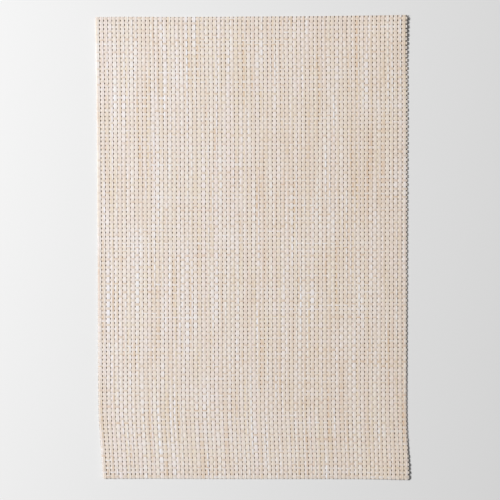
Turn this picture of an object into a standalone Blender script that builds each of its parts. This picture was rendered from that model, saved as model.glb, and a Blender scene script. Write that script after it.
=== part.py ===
# A place mat: one piece of basket-woven cloth, cut to size and lying flat.
# Metres, +Z up. The long side runs along Y, and the origin is under the
# middle of the mat, on the surface that it lies on.

import math

import bmesh
import bpy

MAT_WIDTH = 0.300
MAT_LENGTH = 0.450
CLOTH_THICKNESS = 0.0016
EDGE_ROUNDING = 0.0003  # the cut edge is pressed and sealed

CLOTH_COLOUR = (0.72, 0.63, 0.55, 1.0)
CLOTH_ROUGHNESS = 0.55

# How far the long edges stray from straight, in metres towards +X.
# The near end of the cloth is racked to the right, the far end a little to the left.
LONG_EDGES = (
    # share of the length, left edge, right edge
    (0.000, 0.0046, 0.0027),
    (0.015, 0.0042, 0.0026),
    (0.040, 0.0034, 0.0022),
    (0.070, 0.0025, 0.0014),
    (0.100, 0.0014, 0.0008),
    (0.140, 0.0003, 0.0002),
    (0.200, 0.0000, 0.0000),
    (0.800, 0.0000, 0.0000),
    (0.880, -0.0004, -0.0003),
    (0.940, -0.0008, -0.0008),
    (0.980, -0.0012, -0.0010),
    (1.000, -0.0013, -0.0008),
)

# How far the short edges stray from straight, in metres towards +Y.
SHORT_EDGES = (
    # share of the width, near edge, far edge
    (0.00, 0.0003, -0.0003),
    (0.03, 0.0003, -0.0002),
    (0.08, 0.0002, 0.0000),
    (0.16, 0.0002, 0.0000),
    (0.28, 0.0000, -0.0002),
    (0.72, -0.0002, 0.0006),
    (0.84, -0.0003, 0.0010),
    (0.92, -0.0005, 0.0011),
    (0.97, -0.0008, 0.0014),
    (1.00, -0.0010, 0.0017),
)

# The corners stand a little off the table.
CORNERS = (
    # side across, side along, lift, reach
    (-1, -1, 0.0008, 0.050),
    (1, -1, 0.0012, 0.055),
    (-1, 1, 0.0005, 0.045),
    (1, 1, 0.0016, 0.060),
)


def corner_lift(x, y):
    """Height of the underside above the table."""
    lift = 0.0
    for across, along, height, reach in CORNERS:
        corner_x = across * MAT_WIDTH / 2
        corner_y = along * MAT_LENGTH / 2
        near = 1 - math.hypot(x - corner_x, y - corner_y) / reach
        if near > 0:
            lift += height * near * near * (3 - 2 * near)
    return lift


def outline_point(column, row):
    """Place of the grid point where a column and a row of the tables cross."""
    share_across, near_edge, far_edge = SHORT_EDGES[column]
    share_along, left_edge, right_edge = LONG_EDGES[row]
    x = (share_across - 0.5) * MAT_WIDTH
    y = (share_along - 0.5) * MAT_LENGTH
    height = corner_lift(x, y)
    x += left_edge + share_across * (right_edge - left_edge)
    y += near_edge + share_along * (far_edge - near_edge)
    return x, y, height


def centre_on_origin(mesh):
    """Move the sheet so that its outline is centred over the origin."""
    for axis in (0, 1):
        places = [vert.co[axis] for vert in mesh.verts]
        middle = (min(places) + max(places)) / 2
        for vert in mesh.verts:
            vert.co[axis] -= middle


def make_sheet():
    """The underside of the cloth, an open sheet that gets its thickness later."""
    columns = len(SHORT_EDGES) - 1
    rows = len(LONG_EDGES) - 1
    mesh = bmesh.new()
    bmesh.ops.create_grid(mesh, x_segments=columns, y_segments=rows, size=0.5)
    for vert in mesh.verts:
        column = round((vert.co.x + 0.5) * columns)
        row = round((vert.co.y + 0.5) * rows)
        vert.co = outline_point(column, row)
    centre_on_origin(mesh)
    data = bpy.data.meshes.new("placemat")
    mesh.to_mesh(data)
    mesh.free()
    return data


def make_cloth_material():
    """Vinyl-coated yarn, cream with tan, dull."""
    material = bpy.data.materials.new("woven_cloth")
    material.use_nodes = True
    shader = material.node_tree.nodes["Principled BSDF"]
    shader.inputs["Base Color"].default_value = CLOTH_COLOUR
    shader.inputs["Roughness"].default_value = CLOTH_ROUGHNESS
    shader.inputs["Metallic"].default_value = 0.0
    return material


def make_placemat(collection):
    """The whole mat, which has no binding, lining or hem."""
    mat = bpy.data.objects.new("placemat", make_sheet())
    collection.objects.link(mat)
    mat.data.materials.append(make_cloth_material())

    thickness = mat.modifiers.new("thickness", "SOLIDIFY")
    thickness.thickness = CLOTH_THICKNESS
    thickness.offset = 1.0
    thickness.use_even_offset = True

    rounding = mat.modifiers.new("rounded_edge", "BEVEL")
    rounding.limit_method = "ANGLE"
    rounding.angle_limit = math.radians(45)
    rounding.width = EDGE_ROUNDING
    rounding.segments = 1
    return mat


def main():
    for thing in list(bpy.data.objects):
        bpy.data.objects.remove(thing, do_unlink=True)
    collection = bpy.data.collections.new("placemat")
    bpy.context.scene.collection.children.link(collection)
    make_placemat(collection)


main()
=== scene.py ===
import math

import bpy
import numpy as np
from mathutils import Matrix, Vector


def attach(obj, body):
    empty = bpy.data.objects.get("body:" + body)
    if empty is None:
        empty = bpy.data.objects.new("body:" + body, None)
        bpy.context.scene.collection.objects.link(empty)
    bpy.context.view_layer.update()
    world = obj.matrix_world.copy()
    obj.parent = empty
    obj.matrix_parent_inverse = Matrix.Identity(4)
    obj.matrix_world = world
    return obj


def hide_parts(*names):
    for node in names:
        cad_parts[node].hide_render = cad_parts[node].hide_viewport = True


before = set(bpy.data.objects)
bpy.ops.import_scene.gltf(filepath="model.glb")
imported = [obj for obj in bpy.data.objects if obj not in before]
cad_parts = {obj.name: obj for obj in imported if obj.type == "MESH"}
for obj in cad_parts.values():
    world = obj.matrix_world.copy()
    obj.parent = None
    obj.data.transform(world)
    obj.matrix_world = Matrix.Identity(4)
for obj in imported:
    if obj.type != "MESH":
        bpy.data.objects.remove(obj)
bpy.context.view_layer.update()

# Table mat in basket weave: pairs of yarns over and under pairs of yarns.
# Warp yarns run along the long side (Y), weft yarns across it (X).
cloth = {
    "width": 0.300,       # cut size across
    "length": 0.450,      # cut size along
    "thickness": 0.0016,  # table to the top of the yarns
    "clearance": 0.00001,  # lowest place of a yarn above the table
    "weldReach": 0.00001,  # rings of a run closer than this become one
    "weftEnds": 0.0007,   # how far the weft ends stand out past the outer warps
    "pressed": 0.06,      # share of its thickness that the sealed edge loses
    "pressedReach": 0.0012,
    "nearSpread": 2.1,    # how far the outermost near weft is pressed out, to reach the cut
    "loosened": 0.10,     # share of their width that the yarns lose near a cut
    "loosenedReach": 0.018,
    "sideMargin": 0.95,   # cut edge to the first gap between pairs, in repeats
    "nearMargin": 0.95,
    "farMargin": 0.25,
    "warpGaps": 73,       # gaps between warp pairs
    "weftGaps": 112,      # gaps between weft pairs
}
pitchX = cloth["width"] / (cloth["warpGaps"] - 1 + 2 * cloth["sideMargin"])
repeatsY = cloth["weftGaps"] - 1 + cloth["nearMargin"] + cloth["farMargin"]
pitchY = cloth["length"] / repeatsY

# How the lying cloth strays from a flat rectangle, as in the CAD solid.
lie = {
    # share of the length: left edge, right edge, in metres towards +X
    "longEdges": (
        (0.000, 0.0046, 0.0027),
        (0.015, 0.0042, 0.0026),
        (0.040, 0.0034, 0.0022),
        (0.070, 0.0025, 0.0014),
        (0.100, 0.0014, 0.0008),
        (0.140, 0.0003, 0.0002),
        (0.200, 0.0000, 0.0000),
        (0.800, 0.0000, 0.0000),
        (0.880, -0.0004, -0.0003),
        (0.940, -0.0008, -0.0008),
        (0.980, -0.0012, -0.0010),
        (1.000, -0.0013, -0.0008),
    ),
    # share of the width: near edge, far edge, in metres towards +Y
    "shortEdges": (
        (0.00, 0.0003, -0.0003),
        (0.03, 0.0003, -0.0002),
        (0.08, 0.0002, 0.0000),
        (0.16, 0.0002, 0.0000),
        (0.28, 0.0000, -0.0002),
        (0.72, -0.0002, 0.0006),
        (0.84, -0.0003, 0.0010),
        (0.92, -0.0005, 0.0011),
        (0.97, -0.0008, 0.0014),
        (1.00, -0.0010, 0.0017),
    ),
    # corners that stand off the table: side across, side along, lift, reach
    "corners": (
        (-1, -1, 0.0008, 0.050),
        (1, -1, 0.0012, 0.055),
        (-1, 1, 0.0005, 0.045),
        (1, 1, 0.0016, 0.060),
    ),
}


def smoothStep(share):
    share = np.clip(share, 0, 1)
    return share * share * (3 - 2 * share)


def strayed(x, y):
    # where a point of the flat rectangle lies in the laid cloth, and its lift
    across = x / cloth["width"] + 0.5
    along = y / cloth["length"] + 0.5
    rows, left, right = np.transpose(lie["longEdges"])
    columns, near, far = np.transpose(lie["shortEdges"])
    leftShift = np.interp(along, rows, left)
    rightShift = np.interp(along, rows, right)
    nearShift = np.interp(across, columns, near)
    farShift = np.interp(across, columns, far)
    lift = np.zeros_like(x)
    for sideX, sideY, height, reach in lie["corners"]:
        cornerX = sideX * cloth["width"] / 2
        cornerY = sideY * cloth["length"] / 2
        lift += height * smoothStep(1 - np.hypot(x - cornerX, y - cornerY) / reach)
    movedX = x + leftShift + across * (rightShift - leftShift)
    movedY = y + nearShift + along * (farShift - nearShift)
    return movedX, movedY, lift


def clothCentre():
    # the CAD solid is centred on its outline, which these shifts follow
    rows = np.array([row[0] for row in lie["longEdges"]]) - 0.5
    columns = np.array([row[0] for row in lie["shortEdges"]]) - 0.5
    x, y = np.meshgrid(columns * cloth["width"], rows * cloth["length"])
    movedX, movedY, _ = strayed(x, y)
    return (movedX.min() + movedX.max()) / 2, (movedY.min() + movedY.max()) / 2


centreX, centreY = clothCentre()

# The yarns don't run quite square to the cuts: shifts in metres, by the shares
# across and along (-1 to 1) raised to the two powers.
skew = {
    "towardsX": (
        (0, 0, -0.00064),
        (1, 0, 0.00020),
        (0, 1, -0.00059),
        (2, 0, 0.00016),
        (0, 2, 0.00031),
        (3, 0, -0.00006),
        (0, 3, -0.00081),
        (0, 4, -0.00044),
        (0, 5, 0.00143),
    ),
    "towardsY": (
        (0, 0, 0.00020),
        (1, 0, -0.00006),
        (0, 1, 0.00025),
        (1, 1, -0.00054),
        (2, 0, 0.00019),
        (0, 2, 0.00088),
        (2, 1, -0.00017),
        (1, 2, -0.00013),
        (0, 3, -0.00125),
        (0, 4, -0.00048),
        (0, 5, 0.00106),
    ),
}


def skewed(x, y):
    across = x / (cloth["width"] / 2)
    along = y / (cloth["length"] / 2)
    movedX = x.copy()
    movedY = y.copy()
    for powerX, powerY, shift in skew["towardsX"]:
        movedX += shift * across ** powerX * along ** powerY
    for powerX, powerY, shift in skew["towardsY"]:
        movedY += shift * across ** powerX * along ** powerY
    return movedX, movedY


# One yarn of a pair, and how its runs vary.
warpYarn = {
    "sides": 5,
    "width": 0.00242,
    "height": 0.00122,
    "flatness": 1.00,      # width of the level top, against an even tube's
    "rise": 0.00018,       # centre of a float above the cloth's middle
    "level": 0.60,         # half of a float's level part on the face, in repeats
    "backLevel": 0.12,     # and on the back
    "spacing": 0.00160,    # between the two yarns of a pair
    "drift": 0.00007,      # sideways wander
    "swell": 0.05,         # share by which the width varies
    "pairDriftStep": 0.016,  # lengths over which they change
    "ownDriftStep": 0.011,
    "swellStep": 0.009,
    "seed": 11,
}
weftYarn = {
    "sides": 5,
    "width": 0.00216,
    "height": 0.00116,
    "flatness": 0.86,
    "rise": 0.00018,
    "level": 0.30,
    "backLevel": 0.37,
    "spacing": 0.00124,
    "drift": 0.00006,
    "swell": 0.05,
    "pairDriftStep": 0.016,
    "ownDriftStep": 0.011,
    "swellStep": 0.009,
    "seed": 23,
}


# Each run has its own strip of the map "yarnRun": across the map, around the yarn
# in a column of its own, and up the map, along the yarn from cut to cut.
strip = {
    "sideStart": 0.06,  # shares of a run's column
    "sideShare": 0.88,
    "start": 0.02,      # shares of the map
    "share": 0.96,
    "capHeight": 3,     # map units to a metre on a cut face
    "cap": (0.003, 0.008, 0.015),  # lowest, middle and highest place of a cut face past the strip
}


def onlyObject(name):
    # the object that was just added, named, and nothing else selected
    made = bpy.context.object
    bpy.ops.object.select_all(action="DESELECT")
    made.select_set(True)
    bpy.context.view_layer.objects.active = made
    made.name = name
    made.data.name = name
    return made


def ringPlaces(yarn):
    # where the rings of one repeat lie along it: float on the face, float on the back
    level = yarn["level"]
    backLevel = yarn["backLevel"]
    return (-level, level, 1 - backLevel, 1 + backLevel, 2 - level)


def repeatOfYarn(name, yarn, pitch):
    # over one pair and under the next: a tube with its rings up, up, down, down
    bpy.ops.object.select_all(action="DESELECT")
    bpy.ops.mesh.primitive_cylinder_add(
        vertices=yarn["sides"], radius=0.5, depth=2.0, end_fill_type="NOTHING",
        rotation=(-math.pi / 2, 0, 0))
    run = onlyObject(name)
    bpy.ops.object.transform_apply(location=True, rotation=True, scale=True)
    bpy.ops.object.mode_set(mode="EDIT")
    bpy.ops.mesh.select_mode(type="EDGE")
    bpy.ops.mesh.select_all(action="DESELECT")
    bpy.ops.object.mode_set(mode="OBJECT")
    verts = run.data.vertices
    for edge in run.data.edges:
        first, second = edge.vertices
        edge.select = abs(verts[first].co.y - verts[second].co.y) > 1
    bpy.ops.object.mode_set(mode="EDIT")
    bpy.ops.mesh.subdivide(number_cuts=3)
    bpy.ops.mesh.select_mode(type="VERT")
    bpy.ops.object.mode_set(mode="OBJECT")
    places = ringPlaces(yarn)
    ringHeights = (1, 1, -1, -1, 1)
    widest = max(abs(vert.co.x) for vert in verts)
    lowest = min(vert.co.z for vert in verts)
    highest = max(vert.co.z for vert in verts)
    for vert in verts:
        ring = round((vert.co.y + 1) * 2)
        vert.co.x *= yarn["width"] / 2 / widest
        if vert.co.z > highest - 0.01:
            vert.co.x *= yarn["flatness"]
        vert.co.z = ((vert.co.z - lowest) / (highest - lowest) - 0.5) * yarn["height"]
        vert.co.z += yarn["rise"] * ringHeights[ring]
        vert.co.y = places[ring] * pitch
    return run


def arrayAlong(thing, label, count, step, mapStep):
    rows = thing.modifiers.new(label, "ARRAY")
    rows.count = count
    rows.use_relative_offset = False
    rows.use_constant_offset = True
    rows.constant_offset_displace = step
    rows.offset_u, rows.offset_v = mapStep
    rows.use_merge_vertices = True
    rows.merge_threshold = cloth["weldReach"]
    bpy.ops.object.modifier_apply(modifier=label)


def readPlaces(mesh):
    places = np.empty(len(mesh.vertices) * 3, np.float32)
    mesh.vertices.foreach_get("co", places)
    return places.reshape(-1, 3).astype(float)


def writePlaces(mesh, places):
    mesh.vertices.foreach_set("co", places.astype(np.float32).ravel())
    mesh.update()


def wander(seed, runs, length, step):
    # a smooth random number for each run and place along it, about -2 to 2
    knots = int(length / step) + 6
    table = np.random.default_rng(seed).normal(size=(runs, knots))

    def read(run, along):
        place = np.clip(along / step + 2, 0, knots - 2.001)
        low = np.floor(place).astype(int)
        share = smoothStep(place - low)
        return table[run, low] * (1 - share) + table[run, low + 1] * share

    return read


def weaveRuns(name, yarn, field, side):
    # one yarn of every pair, side by side along Y, longer than the cloth at both ends
    run = repeatOfYarn(name, yarn, field["pitchAlong"])
    run.data.uv_layers.active.name = "yarnRun"
    count = field["count"]
    total = field["length"] / field["pitchAlong"]
    firstCell = field["marginAlong"] - 2.5  # centre of a float on the face, before the cloth
    mapShare = strip["share"] / total
    for spot in run.data.uv_layers["yarnRun"].data:
        around, share = spot.uv
        cell = firstCell + ringPlaces(yarn)[round(share * 4)]
        aroundRun = strip["sideStart"] + strip["sideShare"] * around
        spot.uv = (aroundRun / count, strip["start"] + cell * mapShare)
    places = readPlaces(run.data)
    places[:, 1] += firstCell * field["pitchAlong"]
    places[:, 0] += (field["marginAcross"] - 0.5) * field["pitchAcross"]
    places[:, 0] += side * yarn["spacing"] / 2
    writePlaces(run.data, places)
    arrayAlong(run, "along", math.ceil(total / 2) + 3, (0, 2 * field["pitchAlong"], 0),
               (0, 2 * mapShare))
    # the next pair has its floats one repeat further back
    arrayAlong(run, "neighbour", 2, (field["pitchAcross"], -field["pitchAlong"], 0),
               (1 / count, -mapShare))
    arrayAlong(run, "across", math.ceil(count / 2), (2 * field["pitchAcross"], 0, 0),
               (2 / count, 0))
    return run


def unevenRuns(run, yarn, field, side):
    # the runs wander and swell, and grow narrower towards the cuts
    places = readPlaces(run.data)
    pitch = field["pitchAcross"]
    number = np.floor(places[:, 0] / pitch - field["marginAcross"] + 1).astype(int)
    number = np.clip(number, 0, field["count"])
    centre = (number + field["marginAcross"] - 0.5) * pitch + side * yarn["spacing"] / 2
    along = places[:, 1]
    length = field["length"]
    runs = field["count"] + 1
    seed = yarn["seed"]
    pairDrift = wander(seed, runs, length, yarn["pairDriftStep"])(number, along)
    ownDrift = wander(seed + 1 + side, runs, length, yarn["ownDriftStep"])(number, along)
    swell = wander(seed + 5 + side, runs, length, yarn["swellStep"])(number, along)
    width = 1 + yarn["swell"] * np.clip(swell, -2, 2)
    across = places[:, 0]
    breadth = (field["count"] - 2) * pitch + 2 * field["marginAcross"] * pitch
    for inside in (np.minimum(along, length - along), np.minimum(across, breadth - across)):
        width -= cloth["loosened"] * smoothStep(1 - inside / cloth["loosenedReach"])
    places[:, 0] = centre + (places[:, 0] - centre) * width
    if field["spread"] and side < 0:
        # the outermost run is pressed out to the cut
        outer = (number == 0) & (places[:, 0] < centre)
        places[outer, 0] = centre[outer] + (places[outer, 0] - centre[outer]) * field["spread"]
    places[:, 0] += yarn["drift"] * (pairDrift + 0.5 * ownDrift)
    writePlaces(run.data, places)


cut = {
    "faceReach": 1e-6,  # a cut face's centre lies this close to the cut
    "faceTurn": 0.99,   # and its normal points along the cut's by at least this much
}


def cutCloth(run, axis, place, side):
    # a straight cut; the cut faces get a spot of the map past the strips
    lowest, middle, highest = strip["cap"]
    normal = [0, 0, 0]
    normal[axis] = side
    point = [0, 0, 0]
    point[axis] = place
    bpy.ops.object.mode_set(mode="EDIT")
    bpy.ops.mesh.select_all(action="SELECT")
    bpy.ops.mesh.bisect(plane_co=point, plane_no=normal, use_fill=True, clear_outer=True)
    bpy.ops.object.mode_set(mode="OBJECT")
    mesh = run.data
    spots = mesh.uv_layers["yarnRun"].data
    cutFaces = []
    for face in mesh.polygons:
        atCut = abs(face.center[axis] - place) <= cut["faceReach"]
        if atCut and abs(face.normal[axis]) >= cut["faceTurn"]:
            cutFaces.append(face)
    onCut = {vert for face in cutFaces for vert in face.vertices}
    cutLoops = {loop for face in cutFaces for loop in face.loop_indices}
    spotOf = {}
    for loop in mesh.loops:
        if loop.vertex_index in onCut and loop.index not in cutLoops:
            spotOf[loop.vertex_index] = spots[loop.index].uv.copy()
    for face in cutFaces:
        for loop in face.loop_indices:
            corner = mesh.loops[loop].vertex_index
            spot = spotOf.get(corner)
            if spot is None:
                continue
            height = (mesh.vertices[corner].co.z - face.center.z) * strip["capHeight"]
            past = min(max(middle + height, lowest), highest)
            spots[loop].uv = (spot.x, past if spot.y < 0.5 else 1 - past)


def pressEdges(run):
    # the cut edges are pressed thin and sealed
    places = readPlaces(run.data)
    inX = cloth["width"] / 2 + cloth["weftEnds"] - np.abs(places[:, 0])
    inY = cloth["length"] / 2 - np.abs(places[:, 1])
    inside = np.minimum(inX, inY)
    pressed = cloth["pressed"] * smoothStep(1 - inside / cloth["pressedReach"])
    places[:, 2] = (places[:, 2] + cloth["thickness"] / 2) * (1 - pressed)
    writePlaces(run.data, places)


def layCloth(run):
    # from the flat rectangle to the way the mat lies
    places = readPlaces(run.data)
    movedX, movedY, lift = strayed(places[:, 0], places[:, 1])
    places[:, 0] = movedX - centreX
    places[:, 1] = movedY - centreY
    places[:, 2] = np.maximum(places[:, 2], cloth["clearance"]) + lift
    writePlaces(run.data, places)


def finishRun(run):
    run.data.uv_layers.new(name="OFBake")  # the same strips, kept for baking
    run.data.uv_layers.active = run.data.uv_layers["yarnRun"]
    bpy.ops.object.select_all(action="DESELECT")
    run.select_set(True)
    bpy.context.view_layer.objects.active = run
    bpy.ops.object.shade_smooth_by_angle(angle=math.radians(50))
    bpy.context.view_layer.update()
    print(run.name, "has", sum(len(face.vertices) - 2 for face in run.data.polygons), "triangles")


def makeWarps(name, side):
    field = {
        "length": cloth["length"],
        "pitchAlong": pitchY,
        "pitchAcross": pitchX,
        "marginAlong": cloth["nearMargin"],
        "marginAcross": cloth["sideMargin"],
        "count": cloth["warpGaps"] + 1,
        "spread": None,
    }
    run = weaveRuns(name, warpYarn, field, side)
    unevenRuns(run, warpYarn, field, side)
    places = readPlaces(run.data)
    centredX = places[:, 0] - cloth["width"] / 2
    centredY = places[:, 1] - cloth["length"] / 2
    places[:, 0], places[:, 1] = skewed(centredX, centredY)
    writePlaces(run.data, places)
    cutCloth(run, 1, -cloth["length"] / 2, -1)
    cutCloth(run, 1, cloth["length"] / 2, 1)
    pressEdges(run)
    layCloth(run)
    finishRun(run)
    return run


def makeWefts(name, side):
    field = {
        "length": cloth["width"],
        "pitchAlong": pitchX,
        "pitchAcross": pitchY,
        "marginAlong": cloth["sideMargin"],
        "marginAcross": cloth["nearMargin"],
        "count": cloth["weftGaps"] + 1,
        "spread": cloth["nearSpread"],
    }
    run = weaveRuns(name, weftYarn, field, side)
    unevenRuns(run, weftYarn, field, side)
    places = readPlaces(run.data)
    # a quarter turn: what ran along Y runs towards -X, and pairs follow each other along Y;
    # with an even number of warp pairs, the wefts' floats then lie between the warps'
    turnedX = cloth["width"] / 2 - places[:, 1]
    turnedY = places[:, 0] - cloth["length"] / 2
    places[:, 0], places[:, 1] = skewed(turnedX, turnedY)
    writePlaces(run.data, places)
    cutCloth(run, 0, -cloth["width"] / 2 - cloth["weftEnds"], -1)
    cutCloth(run, 0, cloth["width"] / 2 + cloth["weftEnds"], 1)
    cutCloth(run, 1, -cloth["length"] / 2, -1)
    cutCloth(run, 1, cloth["length"] / 2, 1)
    pressEdges(run)
    layCloth(run)
    finishRun(run)
    return run


class Signal:
    # a number or vector on its way through a material
    def __init__(self, paint, socket):
        self.paint = paint
        self.socket = socket

    def __add__(self, other):
        return self.paint.maths("ADD", self, other)

    def __radd__(self, other):
        return self.paint.maths("ADD", other, self)

    def __sub__(self, other):
        return self.paint.maths("SUBTRACT", self, other)

    def __rsub__(self, other):
        return self.paint.maths("SUBTRACT", other, self)

    def __mul__(self, other):
        return self.paint.maths("MULTIPLY", self, other)

    def __rmul__(self, other):
        return self.paint.maths("MULTIPLY", other, self)

    def __abs__(self):
        return self.paint.maths("ABSOLUTE", self)

    def floor(self):
        return self.paint.maths("FLOOR", self)

    def fraction(self):
        return self.paint.maths("FRACT", self)

    def between(self, low, high):
        return self.paint.maths("MINIMUM", self.paint.maths("MAXIMUM", self, low), high)


class Paint:
    # one material and the way its nodes are added
    def __init__(self, name):
        self.material = bpy.data.materials.new(name)
        self.material.use_nodes = True
        self.tree = self.material.node_tree
        self.tree.nodes.clear()

    def node(self, kind, settings, sockets, out=0):
        made = self.tree.nodes.new(kind)
        for key, value in settings.items():
            if key == "stops":
                ramp = made.color_ramp
                while len(ramp.elements) < len(value):
                    ramp.elements.new(0.5)
                for stop, (place, colour) in zip(ramp.elements, value):
                    stop.position = place
                    stop.color = (*colour, 1)
            else:
                setattr(made, key, value)
        for key, value in sockets.items():
            if isinstance(value, Signal):
                self.tree.links.new(value.socket, made.inputs[key])
            else:
                made.inputs[key].default_value = value
        return Signal(self, made.outputs[out]) if made.outputs else None

    def maths(self, operation, first, second=0.0):
        return self.node("ShaderNodeMath", {"operation": operation}, {0: first, 1: second})

    def vector(self, x, y, z):
        return self.node("ShaderNodeCombineXYZ", {}, {0: x, 1: y, 2: z})

    def noise(self, place, detail, roughness):
        return self.node("ShaderNodeTexNoise", {"noise_dimensions": "3D"},
                         {"Vector": place, "Scale": 1.0, "Detail": detail, "Roughness": roughness})

    def mix(self, share, first, second, blend="MIX"):
        return self.node("ShaderNodeMix", {"data_type": "RGBA", "blend_type": blend},
                         {0: share, 6: first, 7: second}, 2)


# What the colours of all the yarns share.
melange = {
    "left": (1.00, 1.01, 1.035),    # painted light: the cloth is a little paler at its left side, towards the lamp
    "right": (1.00, 0.985, 0.965),  # and painted shade: a little darker and browner at its right, away from the lamp
    "hueStrength": 2.5,
    "hueShare": 0.4,
    # painted shade: the dark brown that flanks facing a gap are multiplied by, for the shade in
    # the holes
    "gapShade": (0.18, 0.10, 0.05),
    "gapSharpness": 12,
    "flankAt": 0.264,       # middle of a flank, in shares of a run's column from its top
    "flankSharpness": 14,
    "flankStart": 1.2,
    "cutSharpness": 20,
    "endSharpness": 1400,
    "fleckRate": 260,       # flecks to a metre, about
    "fibreRate": 900,
    "fibreBump": 0.00006,
    "fibreRoughness": 0.3,
}
warpPaint = {
    "lengthwise": True,
    "length": cloth["length"],
    "count": cloth["warpGaps"] + 1,
    "runLength": 0.110,     # longest stretch over which a yarn keeps its tint
    "contrast": 2.5,
    "fleck": 0.25,
    "stops": (
        (0.00, (0.660, 0.500, 0.360)),
        (0.30, (0.720, 0.615, 0.515)),
        (0.60, (0.765, 0.695, 0.645)),
        (1.00, (0.805, 0.800, 0.820)),
    ),
    "pink": (0.77, 0.64, 0.60),
    "straw": (0.76, 0.67, 0.50),
    "repeats": cloth["length"] / pitchY,
    "margin": cloth["nearMargin"],
    "gap": 0.21,                  # half of a gap's length, in repeats
    "paleEnd": (0.72, 0.66, 0.60),
    "paleness": 0.3,
    "pale": 0.0003,               # length of the pale cut end
    "roughness": 0.52,
    "seed": 3.1,
}
weftPaint = {
    "lengthwise": False,
    "length": cloth["width"],
    "count": cloth["weftGaps"] + 1,
    "runLength": 0.070,
    "contrast": 2.3,
    "fleck": 0.2,
    "stops": (
        (0.00, (0.630, 0.480, 0.360)),
        (0.35, (0.665, 0.570, 0.490)),
        (0.65, (0.700, 0.635, 0.580)),
        (1.00, (0.740, 0.720, 0.720)),
    ),
    "pink": (0.71, 0.59, 0.55),
    "straw": (0.70, 0.61, 0.46),
    "repeats": cloth["width"] / pitchX,
    "margin": cloth["sideMargin"],
    "gap": 0.12,
    "paleEnd": (0.70, 0.65, 0.60),
    "paleness": 0.4,
    "pale": 0.0006,
    "roughness": 0.55,
    "seed": 8.7,
}


def yarnPaint(name, look, side, turnUp):
    # melange yarn: its tint changes along the run, and every run has its own;
    # the numbers that multiply run keep the runs' noise apart
    paint = Paint(name)
    strips = paint.node("ShaderNodeUVMap", {"uv_map": "yarnRun"}, {})
    place = paint.node("ShaderNodeSeparateXYZ", {}, {0: strips})
    share = Signal(paint, place.socket.node.outputs["Y"])
    runPlace = place * look["count"]
    run = runPlace.floor()
    turn = runPlace.fraction()
    along = share * look["length"]
    seed = look["seed"] + turnUp
    tintPlace = paint.vector(along * (1 / look["runLength"]), run * 3.73, seed)
    tint = paint.noise(tintPlace, 4.0, 0.65)
    fleckPlace = paint.vector(along * melange["fleckRate"], run * 5.31 + turn * 1.5, seed + 4)
    fleck = paint.noise(fleckPlace, 2.0, 0.5)
    tone = (tint - 0.5) * look["contrast"] + (fleck - 0.5) * look["fleck"] + 0.5
    tone = tone.between(0, 1)
    colour = paint.node("ShaderNodeValToRGB", {"stops": look["stops"]}, {0: tone})
    huePlace = paint.vector(along * (0.9 / look["runLength"]), run * 7.91, seed + 9)
    hue = paint.noise(huePlace, 3.0, 0.6) - 0.5
    strength = melange["hueStrength"]
    pink = (hue * strength).between(0, melange["hueShare"])
    straw = (hue * -strength).between(0, melange["hueShare"])
    colour = paint.mix(pink, colour, (*look["pink"], 1))
    colour = paint.mix(straw, colour, (*look["straw"], 1))
    # painted light and shade: paler towards the lamp at the left, darker and browner away from it
    # at the right
    toRight = (run + 0.5) * (1 / look["count"]) if look["lengthwise"] else 1 - share
    paintedFalloff = paint.mix(toRight, (*melange["left"], 1), (*melange["right"], 1))
    colour = paint.mix(1.0, colour, paintedFalloff, "MULTIPLY")
    mapLength = look["length"] / strip["share"]
    toEnd = abs(share - 0.5) * mapLength + look["pale"] - look["length"] / 2
    pale = (toEnd * melange["endSharpness"]).between(0, look["paleness"])
    colour = paint.mix(pale, colour, (*look["paleEnd"], 1))
    # painted shade: the outer flanks are darkened to brown where they face a gap between the
    # pairs, for the shade deep in the holes, but not on the outermost run's side at the cut
    repeat = (share - strip["start"]) * (look["repeats"] / strip["share"]) - look["margin"]
    fromGap = abs((repeat + 0.5).fraction() - 0.5)
    atGap = (look["gap"] - fromGap) * melange["gapSharpness"] + 0.5
    outer = (turn - 0.5) * side
    nearFlank = melange["flankAt"] - abs(outer - melange["flankAt"])
    flank = nearFlank * melange["flankSharpness"] - melange["flankStart"]
    shade = paint.mix(1.0, colour, (*melange["gapShade"], 1), "MULTIPLY")
    pastFirst = (runPlace - 0.5) * melange["cutSharpness"]
    flank = flank.between(0, 1) * pastFirst.between(0, 1)
    colour = paint.mix(atGap.between(0, 1) * flank, colour, shade)
    fibrePlace = paint.vector(along * melange["fibreRate"], turn * 9, run * 2.17)
    fibre = paint.noise(fibrePlace, 2.0, 0.6)
    bump = paint.node("ShaderNodeBump", {}, {
        "Strength": 0.35, "Distance": melange["fibreBump"], "Height": fibre})
    rough = (fibre - 0.5) * melange["fibreRoughness"] + look["roughness"]
    shader = paint.node("ShaderNodeBsdfPrincipled", {}, {
        "Base Color": colour, "Roughness": rough, "Normal": bump,
        "Specular IOR Level": 0.35, "Sheen Weight": 0.05})
    paint.node("ShaderNodeOutputMaterial", {}, {"Surface": shader})
    return paint.material


def dress(piece, material):
    piece.data.materials.clear()
    piece.data.materials.append(material)
    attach(piece, "root")
    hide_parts("placemat")


print("weaving")
warpLeft = makeWarps("warpLeft", -1)
warpRight = makeWarps("warpRight", 1)
weftNear = makeWefts("weftNear", -1)
weftFar = makeWefts("weftFar", 1)
dress(warpLeft, yarnPaint("melangeWarpLeft", warpPaint, -1, 0))
dress(warpRight, yarnPaint("melangeWarpRight", warpPaint, 1, 31.7))
dress(weftNear, yarnPaint("melangeWeftNear", weftPaint, -1, 0))
dress(weftFar, yarnPaint("melangeWeftFar", weftPaint, 1, 47.3))

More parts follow.
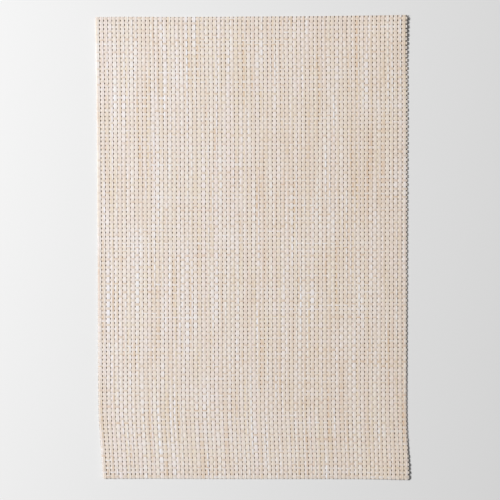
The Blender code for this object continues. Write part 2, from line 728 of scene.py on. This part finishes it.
room = {
    "floorSize": 6.0,
    "floorHeight": -0.00002,
    "floorColour": (0.72, 0.72, 0.72),
    "skyColour": (1.0, 1.0, 1.0),
    "skyStrength": 0.165,
    "lampFrom": (-2.093, 0.522, 2.157),
    "lampSize": 0.75,
    "lampPower": 120.5,
}


def makeFloor():
    bpy.ops.mesh.primitive_plane_add(size=room["floorSize"], location=(0, 0, room["floorHeight"]))
    floor = onlyObject("floor")
    bpy.ops.object.transform_apply(location=True)
    paint = Paint("paleFloor")
    shader = paint.node("ShaderNodeBsdfPrincipled", {}, {
        "Base Color": (*room["floorColour"], 1), "Roughness": 0.7, "Specular IOR Level": 0.2})
    paint.node("ShaderNodeOutputMaterial", {}, {"Surface": shader})
    floor.data.materials.append(paint.material)


def makeLight():
    lamp = bpy.data.lights.new("windowLamp", "AREA")
    lamp.energy = room["lampPower"]
    lamp.size = room["lampSize"]
    holder = bpy.data.objects.new("windowLamp", lamp)
    bpy.context.collection.objects.link(holder)
    holder.location = room["lampFrom"]
    holder.rotation_euler = (-Vector(room["lampFrom"])).to_track_quat("-Z", "Y").to_euler()
    world = bpy.data.worlds.new("paleSky")
    bpy.context.scene.world = world
    world.use_nodes = True
    sky = world.node_tree.nodes["Background"]
    sky.inputs["Color"].default_value = (*room["skyColour"], 1)
    sky.inputs["Strength"].default_value = room["skyStrength"]


view = {
    "distance": 1.40,
    "tilt": 1.8,       # degrees towards the far edge
    "aimX": -0.0030,
    "aimY": -0.0015,
    "scale": 0.0009748,  # metres to a pixel at the mat's middle
    "pixels": 500,
}


def makeCamera():
    eye = bpy.data.cameras.new("fromAbove")
    eye.sensor_width = 36.0
    eye.lens = view["distance"] / view["scale"] * eye.sensor_width / view["pixels"]
    holder = bpy.data.objects.new("fromAbove", eye)
    bpy.context.collection.objects.link(holder)
    tilt = math.radians(view["tilt"])
    holder.location = (
        view["aimX"],
        view["aimY"] + math.sin(tilt) * view["distance"],
        math.cos(tilt) * view["distance"],
    )
    holder.rotation_euler = (-tilt, 0, 0)
    bpy.context.scene.camera = holder


print("room")
makeFloor()
makeLight()
makeCamera()
bpy.context.scene.view_settings.view_transform = "Standard"

bpy.context.view_layer.update()
